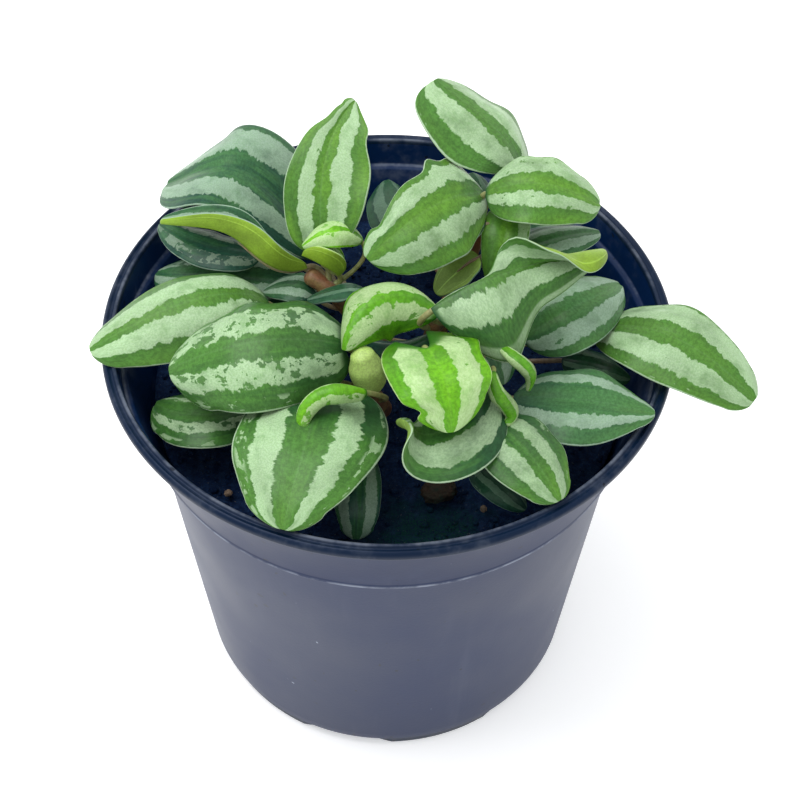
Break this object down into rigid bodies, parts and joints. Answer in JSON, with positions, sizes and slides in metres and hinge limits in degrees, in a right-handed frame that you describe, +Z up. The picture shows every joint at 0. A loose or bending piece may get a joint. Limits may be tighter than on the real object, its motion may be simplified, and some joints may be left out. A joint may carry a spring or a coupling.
{
  "type": "potted peperomia",
  "caption": "Small house plant with thick, silver-striped oval leaves on short reddish shoots, growing in a round, tapered nursery pot of potting mix.",
  "frame": {"origin": "centre of the pot's underside, on the surface that the pot stands on", "axes": "+Z up along the pot's axis; -Y towards the viewer, in front of the large drooping front leaf; +X to the viewer's right"},
  "size_m": [0.1227, 0.108, 0.1204],
  "materials": {
    "pot_plastic": "satin moulded plastic, dark blue-grey, lightly scuffed",
    "potting_mix": "damp, crumbly and nearly black; wood stands for the mix of peat and bark",
    "stem_skin": "reddish brown, smooth and fleshy; leather stands for plant skin",
    "bud_skin": "pale lime green, smooth",
    "leaf_young": "bright lime green with pale silver bands, glossy",
    "leaf_fresh": "mid green with broad silver bands, satin",
    "leaf_mature": "deep green with grey-green bands, satin",
    "leaf_old": "dark bluish green with dim bands, satin",
    "bark": "rough brown bark",
    "grit": "rough pale brown grains"
  },
  "bodies": {
    "root": {"pot": "pot_plastic", "soil": "potting_mix", "stem_left": "stem_skin", "stem_back": "stem_skin", "stem_middle": "stem_skin", "stem_front": "stem_skin", "stem_right": "stem_skin", "leaf_back_left": "leaf_mature", "leaf_upright": "leaf_fresh", "leaf_young_curl": "leaf_young", "leaf_young_tip": "leaf_young", "leaf_left_boat": "leaf_mature", "leaf_left_back": "leaf_mature", "leaf_left_lower": "leaf_mature", "leaf_left_rim": "leaf_fresh", "leaf_left_oval": "leaf_fresh", "leaf_left_soil": "leaf_old", "leaf_front_large": "leaf_fresh", "leaf_front_twist": "leaf_young", "leaf_front_low": "leaf_old", "leaf_centre_curl": "leaf_young", "leaf_centre_under": "leaf_mature", "leaf_heart": "leaf_young", "leaf_hook": "leaf_mature", "leaf_front_right": "leaf_fresh", "leaf_right_pointed": "leaf_mature", "leaf_sliver_low": "leaf_young", "leaf_sliver_high": "leaf_young", "leaf_right_rim": "leaf_fresh", "leaf_right_broad": "leaf_mature", "leaf_centre_right": "leaf_fresh", "leaf_right_back": "leaf_mature", "leaf_right_shade": "leaf_old", "leaf_back_top": "leaf_fresh", "leaf_top_right": "leaf_fresh", "leaf_top_centre": "leaf_fresh", "leaf_back_dark": "leaf_old", "leaf_back_small": "leaf_old", "leaf_inner_olive": "leaf_old", "leaf_inner_left": "leaf_mature", "leaf_inner_arc": "leaf_old", "leaf_inner_grey": "leaf_mature", "leaf_right_soil": "leaf_old", "leaf_front_right_low": "leaf_old", "leaf_inner_striped": "leaf_mature", "leaf_inner_hanging": "leaf_fresh", "leaf_rear_left": "leaf_mature", "leaf_rear_middle": "leaf_mature", "leaf_rear_right": "leaf_mature", "bud_front": "bud_skin", "bark_front": "bark", "grit_left_pale": "grit", "grit_left_brown": "grit", "grit_front_left": "grit", "grit_front_right": "grit"}
  },
  "joints": []
}
